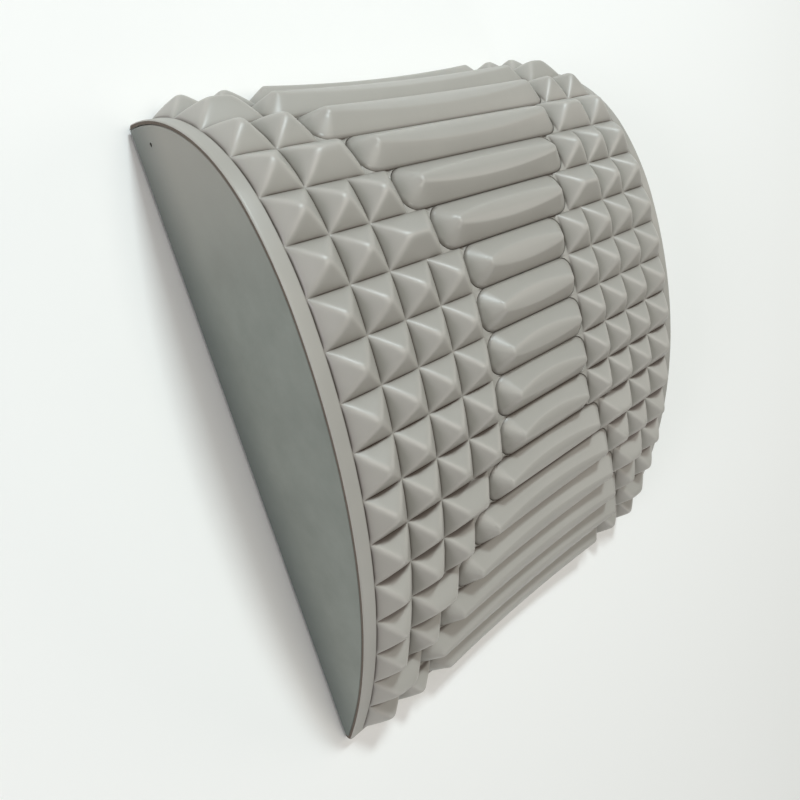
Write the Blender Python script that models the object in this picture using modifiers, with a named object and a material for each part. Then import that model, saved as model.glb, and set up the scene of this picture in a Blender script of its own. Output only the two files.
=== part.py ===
"""Lumbar stretch cushion: an arched foam body under a moulded massage mat.

Metres, +Z up, floor at z = 0. +X runs along the spine from the steep heel end to the long slope,
and Y runs across the back. The body is a firm foam core between two side panels, on a thin
non-slip base sheet. A mat of moulded foam covers the crown: small pyramids on both sides, and
across the middle one bar in every row, each with a shallow scoop for the spine.
"""
import math

import bmesh
import bpy
from mathutils import Matrix

# Side profile of the crown: tangent arcs from the steep heel to the long slope. Past the field the
# mat has a plain border at both ends, and its edges tuck in towards the base.
START_ANGLE = math.radians(-84.0)
HEEL_RADIUS = 0.0861
HEEL_SWEEP = math.radians(65.1)
SHOULDER_RADIUS = 0.1626
SHOULDER_SWEEP = math.radians(16.5)
SLOPE_RADIUS = 0.3209
SLOPE_SWEEP = math.radians(44.0)
END_HEIGHT = 0.0081
HEEL_RUN = 0.004
HEEL_TUCK = 0.002
TOE_RUN = 0.003
TOE_RADIUS = 0.002
TOE_TUCK = math.radians(127.0)

# Pattern of the mat. Rows follow one another along the crown, and columns stand side by side
# across it. The longest bars are near both ends of the crown, and the shortest are on top.
ROWS = 17
COLUMN_PITCH = 0.023
MIDDLE_BAR = 0.0802
RIM = 0.008
MIDDLE_PYRAMIDS = 4
LONGEST_BAR_ROW = 1
LONGEST_BAR_HALVES = 3
STEPS_PER_CELL = 4
BAR_STEPS = 14
TOE_STEPS = 4

# Relief of the mat, measured out from its ground.
GROOVE = 0.001
RIDGE_HEIGHT = 0.0097
TIP_HEIGHT = 0.009
TIP_WIDTH = 0.0024
CREST_HEIGHT = 0.0088
SCOOP_DEPTH = 0.0026
HIP_RUN = 0.011
CORNER_CUT = 0.3

# Layers of the body.
SKIN = 0.002
PANEL_THICKNESS = 0.003
PANEL_EDGE = 0.0004
BASE_THICKNESS = 0.0015
BASE_SETBACK = 0.001
BASE_EDGE = 0.0004
GAP = 0.0003

# Vent hole in the side panel on the right hand of someone facing the long slope.
VENT_DIAMETER = 0.002
VENT_INSET = 0.0128
VENT_HEIGHT = 0.0177
VENT_SIDES = 12

WELD = 0.00001

HALF_CELL = STEPS_PER_CELL // 2
FIELD_WIDTH = 2 * MIDDLE_PYRAMIDS * COLUMN_PITCH + MIDDLE_BAR
WIDTH = FIELD_WIDTH + 2 * RIM
FOOT_HEIGHT = BASE_THICKNESS + GAP


class Crown:
    """Side profile made of arcs laid end to end. An angle is the slope down towards +X."""

    def __init__(self):
        arcs = [
            (HEEL_RADIUS, HEEL_SWEEP),
            (SHOULDER_RADIUS, SHOULDER_SWEEP),
            (SLOPE_RADIUS, SLOPE_SWEEP),
        ]
        self.arcs = []
        along = x = z = 0.0
        angle = START_ANGLE
        for radius, sweep in arcs:
            self.arcs.append((along, x, z, angle, radius))
            x += radius * (math.sin(angle + sweep) - math.sin(angle))
            z += radius * (math.cos(angle + sweep) - math.cos(angle))
            along += radius * sweep
            angle += sweep
        self.field = along
        self.row_pitch = along / ROWS
        self.end_angle = angle
        self.lift = END_HEIGHT - min(0.0, z)

    def point(self, along, height=0.0):
        """x and z at a length along the crown, at a height out from its surface."""
        for start, x, z, angle, radius in reversed(self.arcs):
            if along >= start:
                break
        turned = angle + (along - start) / radius
        x += radius * (math.sin(turned) - math.sin(angle)) + height * math.sin(turned)
        z += radius * (math.cos(turned) - math.cos(angle)) + height * math.cos(turned)
        return x, z + self.lift

    def arch(self, depth):
        """Side path of a layer this deep under the crown, with a short run past both its ends."""
        count = ROWS * STEPS_PER_CELL
        path = [self.point(self.field * k / count, -depth) for k in range(count + 1)]
        start = (path[0][0] - HEEL_RUN * math.cos(START_ANGLE),
                 path[0][1] + HEEL_RUN * math.sin(START_ANGLE))
        end = (path[-1][0] + TOE_RUN * math.cos(self.end_angle),
               path[-1][1] - TOE_RUN * math.sin(self.end_angle))
        return [start] + path + [end]

    def toe(self):
        """Points that round the toe of the outer surface, then lead in to the foot."""
        x, z = self.arch(0.0)[-1]
        points = []
        for k in range(1, TOE_STEPS + 1):
            angle = self.end_angle + (TOE_TUCK - self.end_angle) * k / TOE_STEPS
            out = TOE_RADIUS * (math.sin(angle) - math.sin(self.end_angle))
            down = TOE_RADIUS * (math.cos(self.end_angle) - math.cos(angle))
            points.append((x + out, z - down))
        x, z = points[-1]
        drop = z - FOOT_HEIGHT
        return points + [(x + drop / math.tan(TOE_TUCK), FOOT_HEIGHT)]

    def section(self, depth):
        """Side outline of an inner layer, closed along the foot."""
        path = self.arch(depth)
        return [(path[0][0], FOOT_HEIGHT)] + path + [(path[-1][0], FOOT_HEIGHT)]


def material(name, colour, roughness):
    """Principled material with a plain colour."""
    made = bpy.data.materials.new(name)
    made.use_nodes = True
    shader = made.node_tree.nodes["Principled BSDF"]
    shader.inputs["Base Color"].default_value = (*colour, 1.0)
    shader.inputs["Roughness"].default_value = roughness
    return made


def add_object(name, mesh, finish, collection):
    """Object that shows a mesh in one finish."""
    made = bpy.data.objects.new(name, mesh)
    mesh.materials.clear()
    mesh.materials.append(finish)
    collection.objects.link(made)
    return made


def stations_across():
    """Every place across the field where the cells have a corner or a step."""
    half = FIELD_WIDTH / 2
    step = COLUMN_PITCH / STEPS_PER_CELL
    left = [-half + step * k for k in range(MIDDLE_PYRAMIDS * STEPS_PER_CELL)]
    bar = [MIDDLE_BAR * (k / BAR_STEPS - 0.5) for k in range(BAR_STEPS + 1)]
    return left + bar + [-y for y in reversed(left)]


def row_cells(row, last):
    """Cells of one row as (first station, last station, whether it is a bar)."""
    from_end = min(row, ROWS - 1 - row)
    from_longest = abs(from_end - LONGEST_BAR_ROW)
    halves = min(2 * MIDDLE_PYRAMIDS, LONGEST_BAR_HALVES + from_longest)
    edges = [STEPS_PER_CELL * k for k in range(halves // 2)] + [HALF_CELL * halves]
    found = []
    for outer, inner in zip(edges, edges[1:]):
        found.append((outer, inner, False))
        found.append((last - inner, last - outer, False))
    found.append((edges[-1], last - edges[-1], True))
    return found


def loop_round(across, along):
    """Points round a cell, given the stations on its sides."""
    near = [(a, along[0]) for a in across[:-1]]
    right = [(across[-1], b) for b in along[:-1]]
    far = [(a, along[-1]) for a in reversed(across[1:])]
    left = [(across[0], b) for b in reversed(along[1:])]
    return near + right + far + left


def every_half(stations):
    """The same stations with the odd ones moved onto their neighbours, half a cell apart."""
    return [stations[HALF_CELL * round(k / HALF_CELL)] for k in range(len(stations))]


def held(value, limit):
    """The value kept within a limit either side of zero."""
    return max(-limit, min(limit, value))


def pyramid_rings(across, along):
    """Rings of a hipped form, from its cell's edge up to its tip or ridge."""
    half_x, half_y = across[-1] - GROOVE / 2, along[-1] - GROOVE / 2
    ridge = max(0.0, across[-1] - COLUMN_PITCH / 2)
    tip = TIP_WIDTH / 2
    shoulder = RIDGE_HEIGHT * (1 - tip / half_y)
    foot = []
    collar = []
    top = []
    for a, b in loop_round(every_half(across), every_half(along)):
        a, b = held(a, half_x), held(b, half_y)
        reach = held(a, ridge)
        foot.append((a, b, 0.0))
        collar.append((reach + held(a - reach, tip), held(b, tip), shoulder))
        top.append((reach, 0.0, TIP_HEIGHT))
    return [[(a, b, 0.0) for a, b in loop_round(across, along)], foot, collar, top]


def bar_rings(across, along):
    """Rings of a bar: round-cornered foot, sloping sides, and a crest scooped for the spine."""
    half_x, half_y = across[-1] - GROOVE / 2, along[-1] - GROOVE / 2
    round_x = across[1] - across[0]
    round_y = along[1] - along[0]
    crest_end = half_x - HIP_RUN
    foot = []
    crest = []
    for a, b in loop_round(across, along):
        reach = held(a, crest_end)
        height = CREST_HEIGHT - SCOOP_DEPTH * (1 - (reach / crest_end) ** 2)
        crest.append((reach, held(b, half_y * (1 - height / RIDGE_HEIGHT)), height))
        corner = abs(a) > across[-1] - WELD and abs(b) > along[-1] - WELD
        a, b = held(a, half_x), held(b, half_y)
        if corner:
            a -= math.copysign(round_x * CORNER_CUT, a)
            b -= math.copysign(round_y * CORNER_CUT, b)
        foot.append((a, b, 0.0))
    return [[(a, b, 0.0) for a, b in loop_round(across, along)], foot, crest]


def loft(bm, rings, place):
    """Skins rings of equal count, each onto the next, and returns the last ring."""
    made = [[bm.verts.new(place(*point)) for point in ring] for ring in rings]
    for lower, upper in zip(made, made[1:]):
        for k in range(len(lower)):
            bm.faces.new((lower[k - 1], lower[k], upper[k], upper[k - 1]))
    return made[-1]


def close_crest(bm, ring, wide, deep):
    """Closes a bar's crest with strips from its near edge to its far edge."""
    far = 2 * wide + deep
    for k in range(wide):
        corners = [ring[k], ring[k + 1]]
        if k == wide - 1:
            corners += ring[wide + 1:wide + deep]
        corners += [ring[far - k - 1], ring[far - k]]
        if k == 0:
            corners += ring[far + 1:]
        bm.faces.new(corners)


def add_relief(bm, crown, stations):
    """Raises every pyramid and bar of the pattern from the crown."""
    half_row = crown.row_pitch / 2
    along = [half_row * (2 * k / STEPS_PER_CELL - 1) for k in range(STEPS_PER_CELL + 1)]
    for row in range(ROWS):
        centre = (row + 0.5) * crown.row_pitch
        for first, last, is_bar in row_cells(row, len(stations) - 1):
            middle = (stations[first] + stations[last]) / 2
            across = [y - middle for y in stations[first:last + 1]]

            def place(a, b, height):
                x, z = crown.point(centre + b, height)
                return x, middle + a, z

            if is_bar:
                ring = loft(bm, bar_rings(across, along), place)
                close_crest(bm, ring, last - first, STEPS_PER_CELL)
            else:
                loft(bm, pyramid_rings(across, along), place)


def add_skin(bm, crown, stations):
    """Plain rims, side edges, lips and underside that close the mat round its relief."""
    arch = crown.arch(0.0)
    heel = (arch[0][0] + HEEL_TUCK, FOOT_HEIGHT)
    path = [heel] + arch + crown.toe() + crown.section(SKIN)[::-1]
    start, end = 2, 2 + ROWS * STEPS_PER_CELL

    def edge(y, points):
        return [bm.verts.new((x, y, z)) for x, z in points]

    near, far = edge(-WIDTH / 2, path), edge(WIDTH / 2, path)
    bm.faces.new(near)
    bm.faces.new(far)
    for side, y in ((near, -FIELD_WIDTH / 2), (far, FIELD_WIDTH / 2)):
        rim = edge(y, path[start:end + 1])
        for k in range(len(rim) - 1):
            bm.faces.new((side[start + k], side[start + k + 1], rim[k + 1], rim[k]))
    for k in range(-1, len(path) - 1):
        if start <= k < end:
            continue
        corners = [far[k], near[k], near[k + 1], far[k + 1]]
        if k == start - 1:
            x, z = path[start]
            corners[3:3] = [bm.verts.new((x, y, z)) for y in stations]
        if k == end:
            x, z = path[end]
            corners[1:1] = [bm.verts.new((x, y, z)) for y in reversed(stations)]
        bm.faces.new(corners)


def massage_mat(crown, finish, collection):
    """The moulded mat, relief and skin in one closed body."""
    bm = bmesh.new()
    stations = stations_across()
    add_relief(bm, crown, stations)
    add_skin(bm, crown, stations)
    bmesh.ops.remove_doubles(bm, verts=bm.verts, dist=WELD)
    bmesh.ops.recalc_face_normals(bm, faces=bm.faces)
    mesh = bpy.data.meshes.new("massage_mat")
    bm.to_mesh(mesh)
    bm.free()
    return add_object("massage_mat", mesh, finish, collection)


def slab(name, section, thickness, middle, finish, collection):
    """Flat piece with the given side outline, as thick as given across the body."""
    curve = bpy.data.curves.new(name, "CURVE")
    curve.dimensions = "2D"
    curve.fill_mode = "BOTH"
    curve.extrude = thickness / 2
    line = curve.splines.new("POLY")
    line.points.add(len(section) - 1)
    for point, (x, z) in zip(line.points, section):
        point.co = (x, z, 0.0, 1.0)
    line.use_cyclic_u = True
    guide = bpy.data.objects.new(name + "_outline", curve)
    guide.rotation_euler = (math.pi / 2, 0.0, 0.0)
    guide.location = (0.0, middle, 0.0)
    collection.objects.link(guide)
    bpy.context.view_layer.update()
    evaluated = guide.evaluated_get(bpy.context.evaluated_depsgraph_get())
    mesh = bpy.data.meshes.new_from_object(evaluated)
    mesh.transform(guide.matrix_world)
    bpy.data.objects.remove(guide)
    bpy.data.curves.remove(curve)
    bm = bmesh.new()
    bm.from_mesh(mesh)
    bmesh.ops.remove_doubles(bm, verts=bm.verts, dist=WELD)
    bmesh.ops.recalc_face_normals(bm, faces=bm.faces)
    bm.to_mesh(mesh)
    bm.free()
    mesh.name = name
    return add_object(name, mesh, finish, collection)


def soften(made, width):
    """Eases the sharp edges of a panel."""
    bevel = made.modifiers.new("eased_edge", "BEVEL")
    bevel.width = width
    bevel.segments = 1
    bevel.limit_method = "ANGLE"
    bevel.angle_limit = math.radians(40)


def vent_hole(panel, crown, collection):
    """Small round vent near the heel of a panel."""
    heel = crown.point(0.0)[0]
    bpy.ops.mesh.primitive_cylinder_add(
        vertices=VENT_SIDES,
        radius=VENT_DIAMETER / 2,
        depth=3 * PANEL_THICKNESS,
        location=(heel + VENT_INSET, -WIDTH / 2 + PANEL_THICKNESS / 2, VENT_HEIGHT),
        rotation=(math.pi / 2, 0.0, 0.0),
    )
    cutter = bpy.context.object
    cutter.name = "vent_cutter"
    for home in list(cutter.users_collection):
        home.objects.unlink(cutter)
    collection.objects.link(cutter)
    cutter.hide_render = True
    cutter.display_type = "WIRE"
    cut = panel.modifiers.new("vent", "BOOLEAN")
    cut.operation = "DIFFERENCE"
    cut.object = cutter
    return cutter


def base_sheet(crown, finish, collection):
    """Thin non-slip sheet under the whole body, set back a little from its edges."""
    low = crown.point(0.0)[0] + HEEL_TUCK + BASE_SETBACK
    high = crown.toe()[-1][0] - BASE_SETBACK
    bpy.ops.mesh.primitive_cube_add(size=1.0)
    made = bpy.context.object
    made.name = "base_sheet"
    for home in list(made.users_collection):
        home.objects.unlink(made)
    size = (high - low, WIDTH - 2 * BASE_SETBACK, BASE_THICKNESS)
    middle = ((low + high) / 2, 0.0, BASE_THICKNESS / 2)
    for vert in made.data.vertices:
        vert.co = [m + c * s for m, c, s in zip(middle, vert.co, size)]
    made.data.materials.append(finish)
    collection.objects.link(made)
    soften(made, BASE_EDGE)
    return made


def main():
    for old in list(bpy.data.objects):
        bpy.data.objects.remove(old)
    cushion = bpy.data.collections.new("lumbar_stretch_cushion")
    cutters = bpy.data.collections.new("cutters")
    for made in (cushion, cutters):
        bpy.context.scene.collection.children.link(made)

    relief_foam = material("moulded foam, warm light grey", (0.40, 0.39, 0.35), 0.55)
    core_foam = material("core foam, mid grey", (0.22, 0.22, 0.21), 0.80)
    panel_foam = material("skinned foam sheet, grey-green", (0.24, 0.25, 0.22), 0.60)
    base_rubber = material("thin rubber sheet, dark grey", (0.10, 0.10, 0.09), 0.75)

    crown = Crown()
    inside = SKIN + GAP
    panel_middle = (WIDTH - PANEL_THICKNESS) / 2
    core_width = WIDTH - 2 * (PANEL_THICKNESS + GAP)
    mat = massage_mat(crown, relief_foam, cushion)
    section = crown.section(inside)
    core = slab("core_block", section, core_width, 0.0, core_foam, cushion)
    left = slab("side_panel_left", section, PANEL_THICKNESS, panel_middle, panel_foam, cushion)
    right = slab("side_panel_right", section, PANEL_THICKNESS, -panel_middle, panel_foam, cushion)
    for panel in (left, right):
        soften(panel, PANEL_EDGE)
    cutter = vent_hole(right, crown, cutters)
    base = base_sheet(crown, base_rubber, cushion)

    xs = [vert.co.x for vert in mat.data.vertices]
    shift = Matrix.Translation((-(min(xs) + max(xs)) / 2, 0.0, 0.0))
    for made in (mat, core, left, right, base):
        made.data.transform(shift)
    cutter.matrix_world = shift @ cutter.matrix_world


main()
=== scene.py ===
# %% [markdown]
# # Lumbar stretch cushion
# A firm foam cushion that arches under the lower back. Its crown carries a moulded mat: small
# pyramids on both sides press the muscles, and across the middle one long bar in every row leaves
# a shallow scoop for the spine. This script dresses the imported solids. It presses the mat again as
# a fine mesh, gives the panels and the base sheet soft edges, and gives them and the core real
# finishes.
# Lengths are in metres, +X runs from the steep heel to the long slope, and +Z is up.

# %% Load the imported solids
import math
from collections import namedtuple

import bmesh
import bpy
from mathutils import Matrix, Vector


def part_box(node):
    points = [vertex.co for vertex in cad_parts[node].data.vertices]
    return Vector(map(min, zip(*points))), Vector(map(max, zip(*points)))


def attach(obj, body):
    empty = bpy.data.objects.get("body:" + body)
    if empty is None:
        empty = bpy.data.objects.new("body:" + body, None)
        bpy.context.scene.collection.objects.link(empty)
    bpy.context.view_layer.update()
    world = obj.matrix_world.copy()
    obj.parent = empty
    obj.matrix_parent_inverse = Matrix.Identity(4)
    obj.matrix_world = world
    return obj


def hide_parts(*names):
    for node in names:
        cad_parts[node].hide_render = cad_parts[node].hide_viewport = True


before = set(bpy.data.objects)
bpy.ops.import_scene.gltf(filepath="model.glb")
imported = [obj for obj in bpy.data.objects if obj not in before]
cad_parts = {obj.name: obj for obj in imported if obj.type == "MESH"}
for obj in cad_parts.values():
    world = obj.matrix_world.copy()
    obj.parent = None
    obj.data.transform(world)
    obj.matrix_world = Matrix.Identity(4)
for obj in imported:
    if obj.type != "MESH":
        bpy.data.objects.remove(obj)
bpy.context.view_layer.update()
MM = 0.001
print("solids:", ", ".join(sorted(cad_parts)))

# %% [markdown]
# ## The crown
# Seen from its side the cushion is a row of three arcs laid end to end: a tight one over the steep
# heel, a wider shoulder, and the long slope. A curve object could draw that line, but every layer
# of the cushion follows it at a depth of its own. So one function gives the place of any point by
# its length along the crown and its height out from it.

# %% The line of the crown
START_SLOPE = math.radians(-84.0)  # at the heel the crown stands nearly upright
ARCS = ((0.0861, 65.1), (0.1626, 16.5), (0.3209, 44.0))  # radius in metres, sweep in degrees
END_HEIGHT = 8.1 * MM  # of the crown's lower end above the floor
HEEL_OVERHANG = 3.0 * MM
heel_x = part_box("base_sheet")[0].x - HEEL_OVERHANG


def lay_out_arcs():
    """Start, place, slope and radius of each arc, then the crown's length, last slope and lift."""
    laid = []
    along = x = z = 0.0
    slope = START_SLOPE
    for radius, sweep in ARCS:
        laid.append((along, x, z, slope, radius))
        turned = slope + math.radians(sweep)
        x += radius * (math.sin(turned) - math.sin(slope))
        z += radius * (math.cos(turned) - math.cos(slope))
        along += radius * math.radians(sweep)
        slope = turned
    return laid, along, slope, END_HEIGHT - min(0.0, z)


crown_arcs, CROWN_LENGTH, END_SLOPE, LIFT = lay_out_arcs()


def on_crown(along, height=0.0):
    """x and z of a point on the crown. Past both ends the line runs on straight."""
    inside = min(max(along, 0.0), CROWN_LENGTH)
    for start, x, z, slope, radius in reversed(crown_arcs):
        if inside >= start:
            break
    turned = slope + (inside - start) / radius
    x += radius * (math.sin(turned) - math.sin(slope)) + height * math.sin(turned)
    z += radius * (math.cos(turned) - math.cos(slope)) + height * math.cos(turned)
    x += (along - inside) * math.cos(turned)
    z -= (along - inside) * math.sin(turned)
    return heel_x + x, z + LIFT


print(f"the crown is {CROWN_LENGTH / MM:.1f} mm long")

# %% [markdown]
# ## The mould of the mat
# The real mat is pressed in a hot mould: a sheet of foam goes in flat and comes out with its
# pyramids and bars. They could be modelled one by one, but each would have to be welded to its
# neighbours along every crease. Here a fine grid is the sheet, and a few functions are the mould.
# First comes its plan. The unit across the mat is half a pyramid's cell, because the bars grow by
# half a cell from row to row, and some pyramids beside them are three of these units long.

# %% Plan of the mould
ROWS = 17
ROW_PITCH = CROWN_LENGTH / ROWS
HALF_ROW = ROW_PITCH / 2
PITCH = 23.0 * MM
HALF = PITCH / 2
SIDE_HALVES = 8  # outside the shortest bars
BAR_HALVES = 7  # of the shortest bars, which are BAR_MIDDLE long in all
BAR_MIDDLE = 80.2 * MM
HALVES = 2 * SIDE_HALVES + BAR_HALVES
LONGEST_BAR_ROW = 1
LONGEST_BAR_START = 3
RIM = 8.0 * MM
FIELD_HALF = SIDE_HALVES * HALF + BAR_MIDDLE / 2
WIDTH_HALF = FIELD_HALF + RIM


def bar_starts_at(row):
    """How many half cells lie outside the bar of this row, counted from the mat's side."""
    from_end = min(row, ROWS - 1 - row)
    return min(SIDE_HALVES, LONGEST_BAR_START + abs(from_end - LONGEST_BAR_ROW))


def half_edge(half):
    """Place across the mat of the border after this many half cells."""
    if half <= SIDE_HALVES:
        return half * HALF - FIELD_HALF
    if half >= SIDE_HALVES + BAR_HALVES:
        return FIELD_HALF - (HALVES - half) * HALF
    return BAR_MIDDLE * ((half - SIDE_HALVES) / BAR_HALVES - 0.5)


print("bars start after", [bar_starts_at(row) for row in range(ROWS)], "half cells")

# %% [markdown]
# ## Lines of the grid
# Every half cell gets twelve lines of the grid, so that a pyramid has a line exactly on its tip.
# The middle of a bar is smooth and gets fewer, which saves about a sixth of the mesh.

# %% Cells and their lines
STEPS = 12
MIDDLE_STEPS = 5
Cell = namedtuple("Cell", "first last low high bar")


def column_of(half):
    """Line of the grid on the border after this many half cells."""
    middle = min(max(half - SIDE_HALVES, 0), BAR_HALVES)
    return (half - middle) * STEPS + middle * MIDDLE_STEPS


def cells_of(row):
    """Cells of one row: first and last line, low and high side, and whether it is the bar."""
    outer = bar_starts_at(row)
    edges = list(range(0, 2 * (outer // 2), 2)) + [outer]
    left = list(zip(edges, edges[1:]))
    right = [(HALVES - b, HALVES - a) for a, b in reversed(left)]
    return [Cell(column_of(a), column_of(b), half_edge(a), half_edge(b), a + b == HALVES)
            for a, b in left + [(outer, HALVES - outer)] + right]


def find_cell(row, j):
    """The cell of a row that holds this line of the grid."""
    return next(cell for cell in row_cells[row] if j <= cell.last)


row_cells = [cells_of(row) for row in range(ROWS)]
print("pyramids:", sum(len(cells) - 1 for cells in row_cells), "bars:", ROWS)

# %% [markdown]
# ## Heights in the mould
# A pyramid is the lowest of four sloping planes over its cell. A bar is the lower of its slope and
# its scooped crest. A plain minimum would leave knife edges, and a bevel would have to follow
# thousands of short edges, so a soft minimum rounds every ridge in the same step. Creases between
# pyramids are drawn up a little between the corners. Beside a bar they are cut deep and crisp.

# %% Heights of the pyramids
SLOPE = 0.925  # rise of a side over its run
TIP = 9.0 * MM
FOOT_ROUNDING = 0.42 * MM
TIP_ROUNDING = 0.75 * MM  # is added towards the tip, where the mould fills least well
SWELL = 0.5 * MM
SWELL_FOOT = 0.2  # share of the swelling that is left on the crease itself
SWELL_END = 7.0 * MM
SHOULDER = 0.45 * MM


def soft_min(values, width):
    """Lowest of several heights, with the edge between them rounded off."""
    low = min(values)
    return low - width * math.log(sum(math.exp((low - v) / width) for v in values))


def smooth(share):
    """Runs from 0 to 1 with a soft start and end."""
    share = min(1.0, max(0.0, share))
    return share * share * (3 - 2 * share)


def pyramid_height(left, right, near, far):
    """Height in a pyramid's cell from the distances to its four sides.

    The sides swell a little between the corners, and roll over into the creases.
    """
    inside, along = sorted((min(left, right), min(near, far)))
    planes = [SLOPE * distance for distance in (left, right, near, far)]
    rounding = FOOT_ROUNDING + TIP_ROUNDING * min(planes) / TIP
    rolled = 1 - (1 - SWELL_FOOT) * math.exp(-inside / SHOULDER)
    swell = SWELL * smooth(along / SWELL_END) * rolled * (1 - inside / HALF)
    return max(0.0, soft_min(planes, rounding)) + swell


print("tip of a pyramid", round(pyramid_height(HALF, HALF, HALF_ROW, HALF_ROW) / MM, 2), "mm high")

# %% Heights of the bars and borders
CREASE = 0.32 * MM
CREASE_DEPTH = 1.1 * MM
CREST = 8.8 * MM
SCOOP = 2.6 * MM  # how much lower the crest lies in its middle
CREST_ROUNDING = 0.3 * MM
BAR_CORNER = 8.5 * MM  # radius of a bar's foot in plan
CREST_CORNER = 2.4 * MM
CORNER_LEVEL = 0.12  # share of the crease's depth on the level corners between the bars' feet
CORNER_BLEND = 1.0 * MM  # over this length the crease sinks from there to its full depth
END_EDGE = CREASE + CREST / SLOPE


def bar_height(inside, crest):
    """Height in a bar's cell. Inside is how far in from the rounded foot the point lies."""
    if inside < CREASE:
        return -CREASE_DEPTH * max(0.0, 1 - abs(inside) / CREASE)
    return soft_min([SLOPE * (inside - CREASE), crest], CREST_ROUNDING)


def border_height(bar, to_corner):
    """Height of a cell's border: raised between pyramids, sunk beside a bar's straight foot."""
    if bar:
        sunk = smooth((to_corner - BAR_CORNER + CORNER_BLEND) / CORNER_BLEND)
        return -CREASE_DEPTH * (CORNER_LEVEL + (1 - CORNER_LEVEL) * sunk)
    return SWELL * SWELL_FOOT * smooth(to_corner / SWELL_END)


print("the crest of a bar starts", round(END_EDGE / MM, 2), "mm in from its end")

# %% [markdown]
# ## Painted shade and highlight
# The creases are painted browner and darker, as painted shade, and the ridges lighter, as a painted
# highlight. A texture could be painted for that, but the mould already knows how far each point is
# from a crease. So every point gets one number: above 0 it gets painted shade, and below 0 a
# painted highlight. It is kept in a layer of the mesh, and the finish reads it later.

# %% Shade of a point
# painted shade beside the creases
SHADE_REACH = 6.5 * MM
CREASE_SHADES = ((0.08, 2), (0.22, 5), (0.68, 26))  # a wide haze, a soft band and a thin dark line
SHADE_END = 5.0 * MM
CORNER_SHADE = 0.3
# painted shadow at the foot of each row behind the one before, on the rows towards the toe
PYRAMID_FOOT = 2.0 * MM
PYRAMID_FOOT_ROWS = (7, 5)  # the last row without it, and the rows that it takes to grow
PYRAMID_FOOT_POWER = 0.7  # below 1, so that the lens is fuller
BAR_FOOT = 1.0 * MM
BAR_FOOT_ROWS = (8, 4)
BAR_FOOT_END = 0.08  # share of a bar's length over which its foot fades in
FOOT_FADE = 1.5  # the shade fades out at this much of the foot's reach
FOOT_SHADE = 0.85
TOUCH = 0.01 * MM  # a length or gap below this counts as nothing
# the ridges are painted lighter, as a painted highlight
HIGHLIGHT_SHARE = 0.5
HIGHLIGHT_RISE = 5.0 * MM  # height from which a ridge gets its full painted highlight


def shade_near(inside, along):
    """Painted shade beside a crease: how brown the foam is painted, from the way to it and to its
    end.
    """
    near = max(0.0, 1 - max(0.0, inside) / SHADE_REACH)
    shade = sum(share * near ** power for share, power in CREASE_SHADES)
    return shade * (CORNER_SHADE + (1 - CORNER_SHADE) * smooth(along / SHADE_END))


def shade_under(row, from_heel, share, bar):
    """Painted shadow at the foot, behind the row before, on the rows towards the toe.

    It is a lens: widest in the middle of a cell, at share 0.5, and nothing at its corners.
    """
    last_without, rows_to_grow = BAR_FOOT_ROWS if bar else PYRAMID_FOOT_ROWS
    grown = smooth((row - last_without) / rows_to_grow)
    if bar:
        reach = BAR_FOOT * grown * smooth(min(share, 1 - share) / BAR_FOOT_END)
    else:
        reach = PYRAMID_FOOT * grown * (4 * share * (1 - share)) ** PYRAMID_FOOT_POWER
    return FOOT_SHADE * smooth(FOOT_FADE - from_heel / max(reach, TOUCH))


def ridge_highlight_near(low, next_low, reach):
    """Painted highlight on a ridge: how much lighter the foam is painted where its two slopes are
    equally high.
    """
    return HIGHLIGHT_SHARE * math.exp(-((next_low - low) / reach) ** 2) * smooth(low / HIGHLIGHT_RISE)


print("shade in the middle of a crease", round(shade_near(0.0, HALF), 2))

# %% [markdown]
# ## Rings round each form
# The lines of the grid make rings in every cell, close together at the creases. In a pyramid the
# rings are square. In a bar they follow its rounded foot, then its slopes, and at last the edge
# of its scooped crest. The edges of the mesh then lie on the edges of the real form, so that the
# light runs along them cleanly, which an even grid would need far more points for.

# %% Rings and lines
RINGS = [v * MM for v in (0, 0.3, 0.75, 1.4, 2.3, 3.3, 4.4, 5.6, 6.8, 8.0, 9.2, 10.4, 11.5)]
BAR_RINGS = [v * MM for v in (0, 0.03, 0.06, 0.32, 1.5, 3.1, 4.9, 6.8, 8.5, 9.1)]
FOOT_RINGS = 4  # of a bar's rings, which stay in the crease
CREST_BAND = 0.45 * MM  # one ring lies this far to each side of the crest's edge
HIP_SHARE = 0.907  # slope of a bar's ends, as a share of the slope of its long sides


def ring_of_bar(k, edge):
    """Distance of a bar's ring from its cell's border, where the crest starts at edge."""
    if k >= len(BAR_RINGS):
        return (edge - CREST_BAND, edge + CREST_BAND, HALF_ROW)[k - len(BAR_RINGS)]
    if k < FOOT_RINGS:
        return BAR_RINGS[k]
    return CREASE + (BAR_RINGS[k] - CREASE) * (edge - CREASE) / (END_EDGE - CREASE)


HIPS = [ring_of_bar(k, END_EDGE) / HIP_SHARE for k in range(STEPS + 1)]


def place_across(cell, j):
    """Place across the mat of one line of the grid: rings at both sides, even steps between."""
    rings = HIPS if cell.bar else RINGS
    step, steps, last = j - cell.first, cell.last - cell.first, len(rings) - 1
    if step <= last:
        return cell.low + rings[step]
    if steps - step <= last:
        return cell.high - rings[steps - step]
    share = (step - last) / (steps - 2 * last)
    return cell.low + rings[-1] + (cell.high - cell.low - 2 * rings[-1]) * share


print("rings of a bar at", [round(ring / MM, 2) for ring in HIPS], "mm")

# %% [markdown]
# ## Creases
# A crease belongs to all the cells that touch it, and each has its own wish for its height. The
# lowest wins. At the mat's own edge there is only one cell, and the crease there runs along the
# plain rim.

# %% Points on a crease
RIM_CREASE = 1.0 * MM
RIM_CREASE_CORNER = 0.15 * MM
BORDER_SHADE = 0.35  # where the creases of pyramids cross


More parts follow.
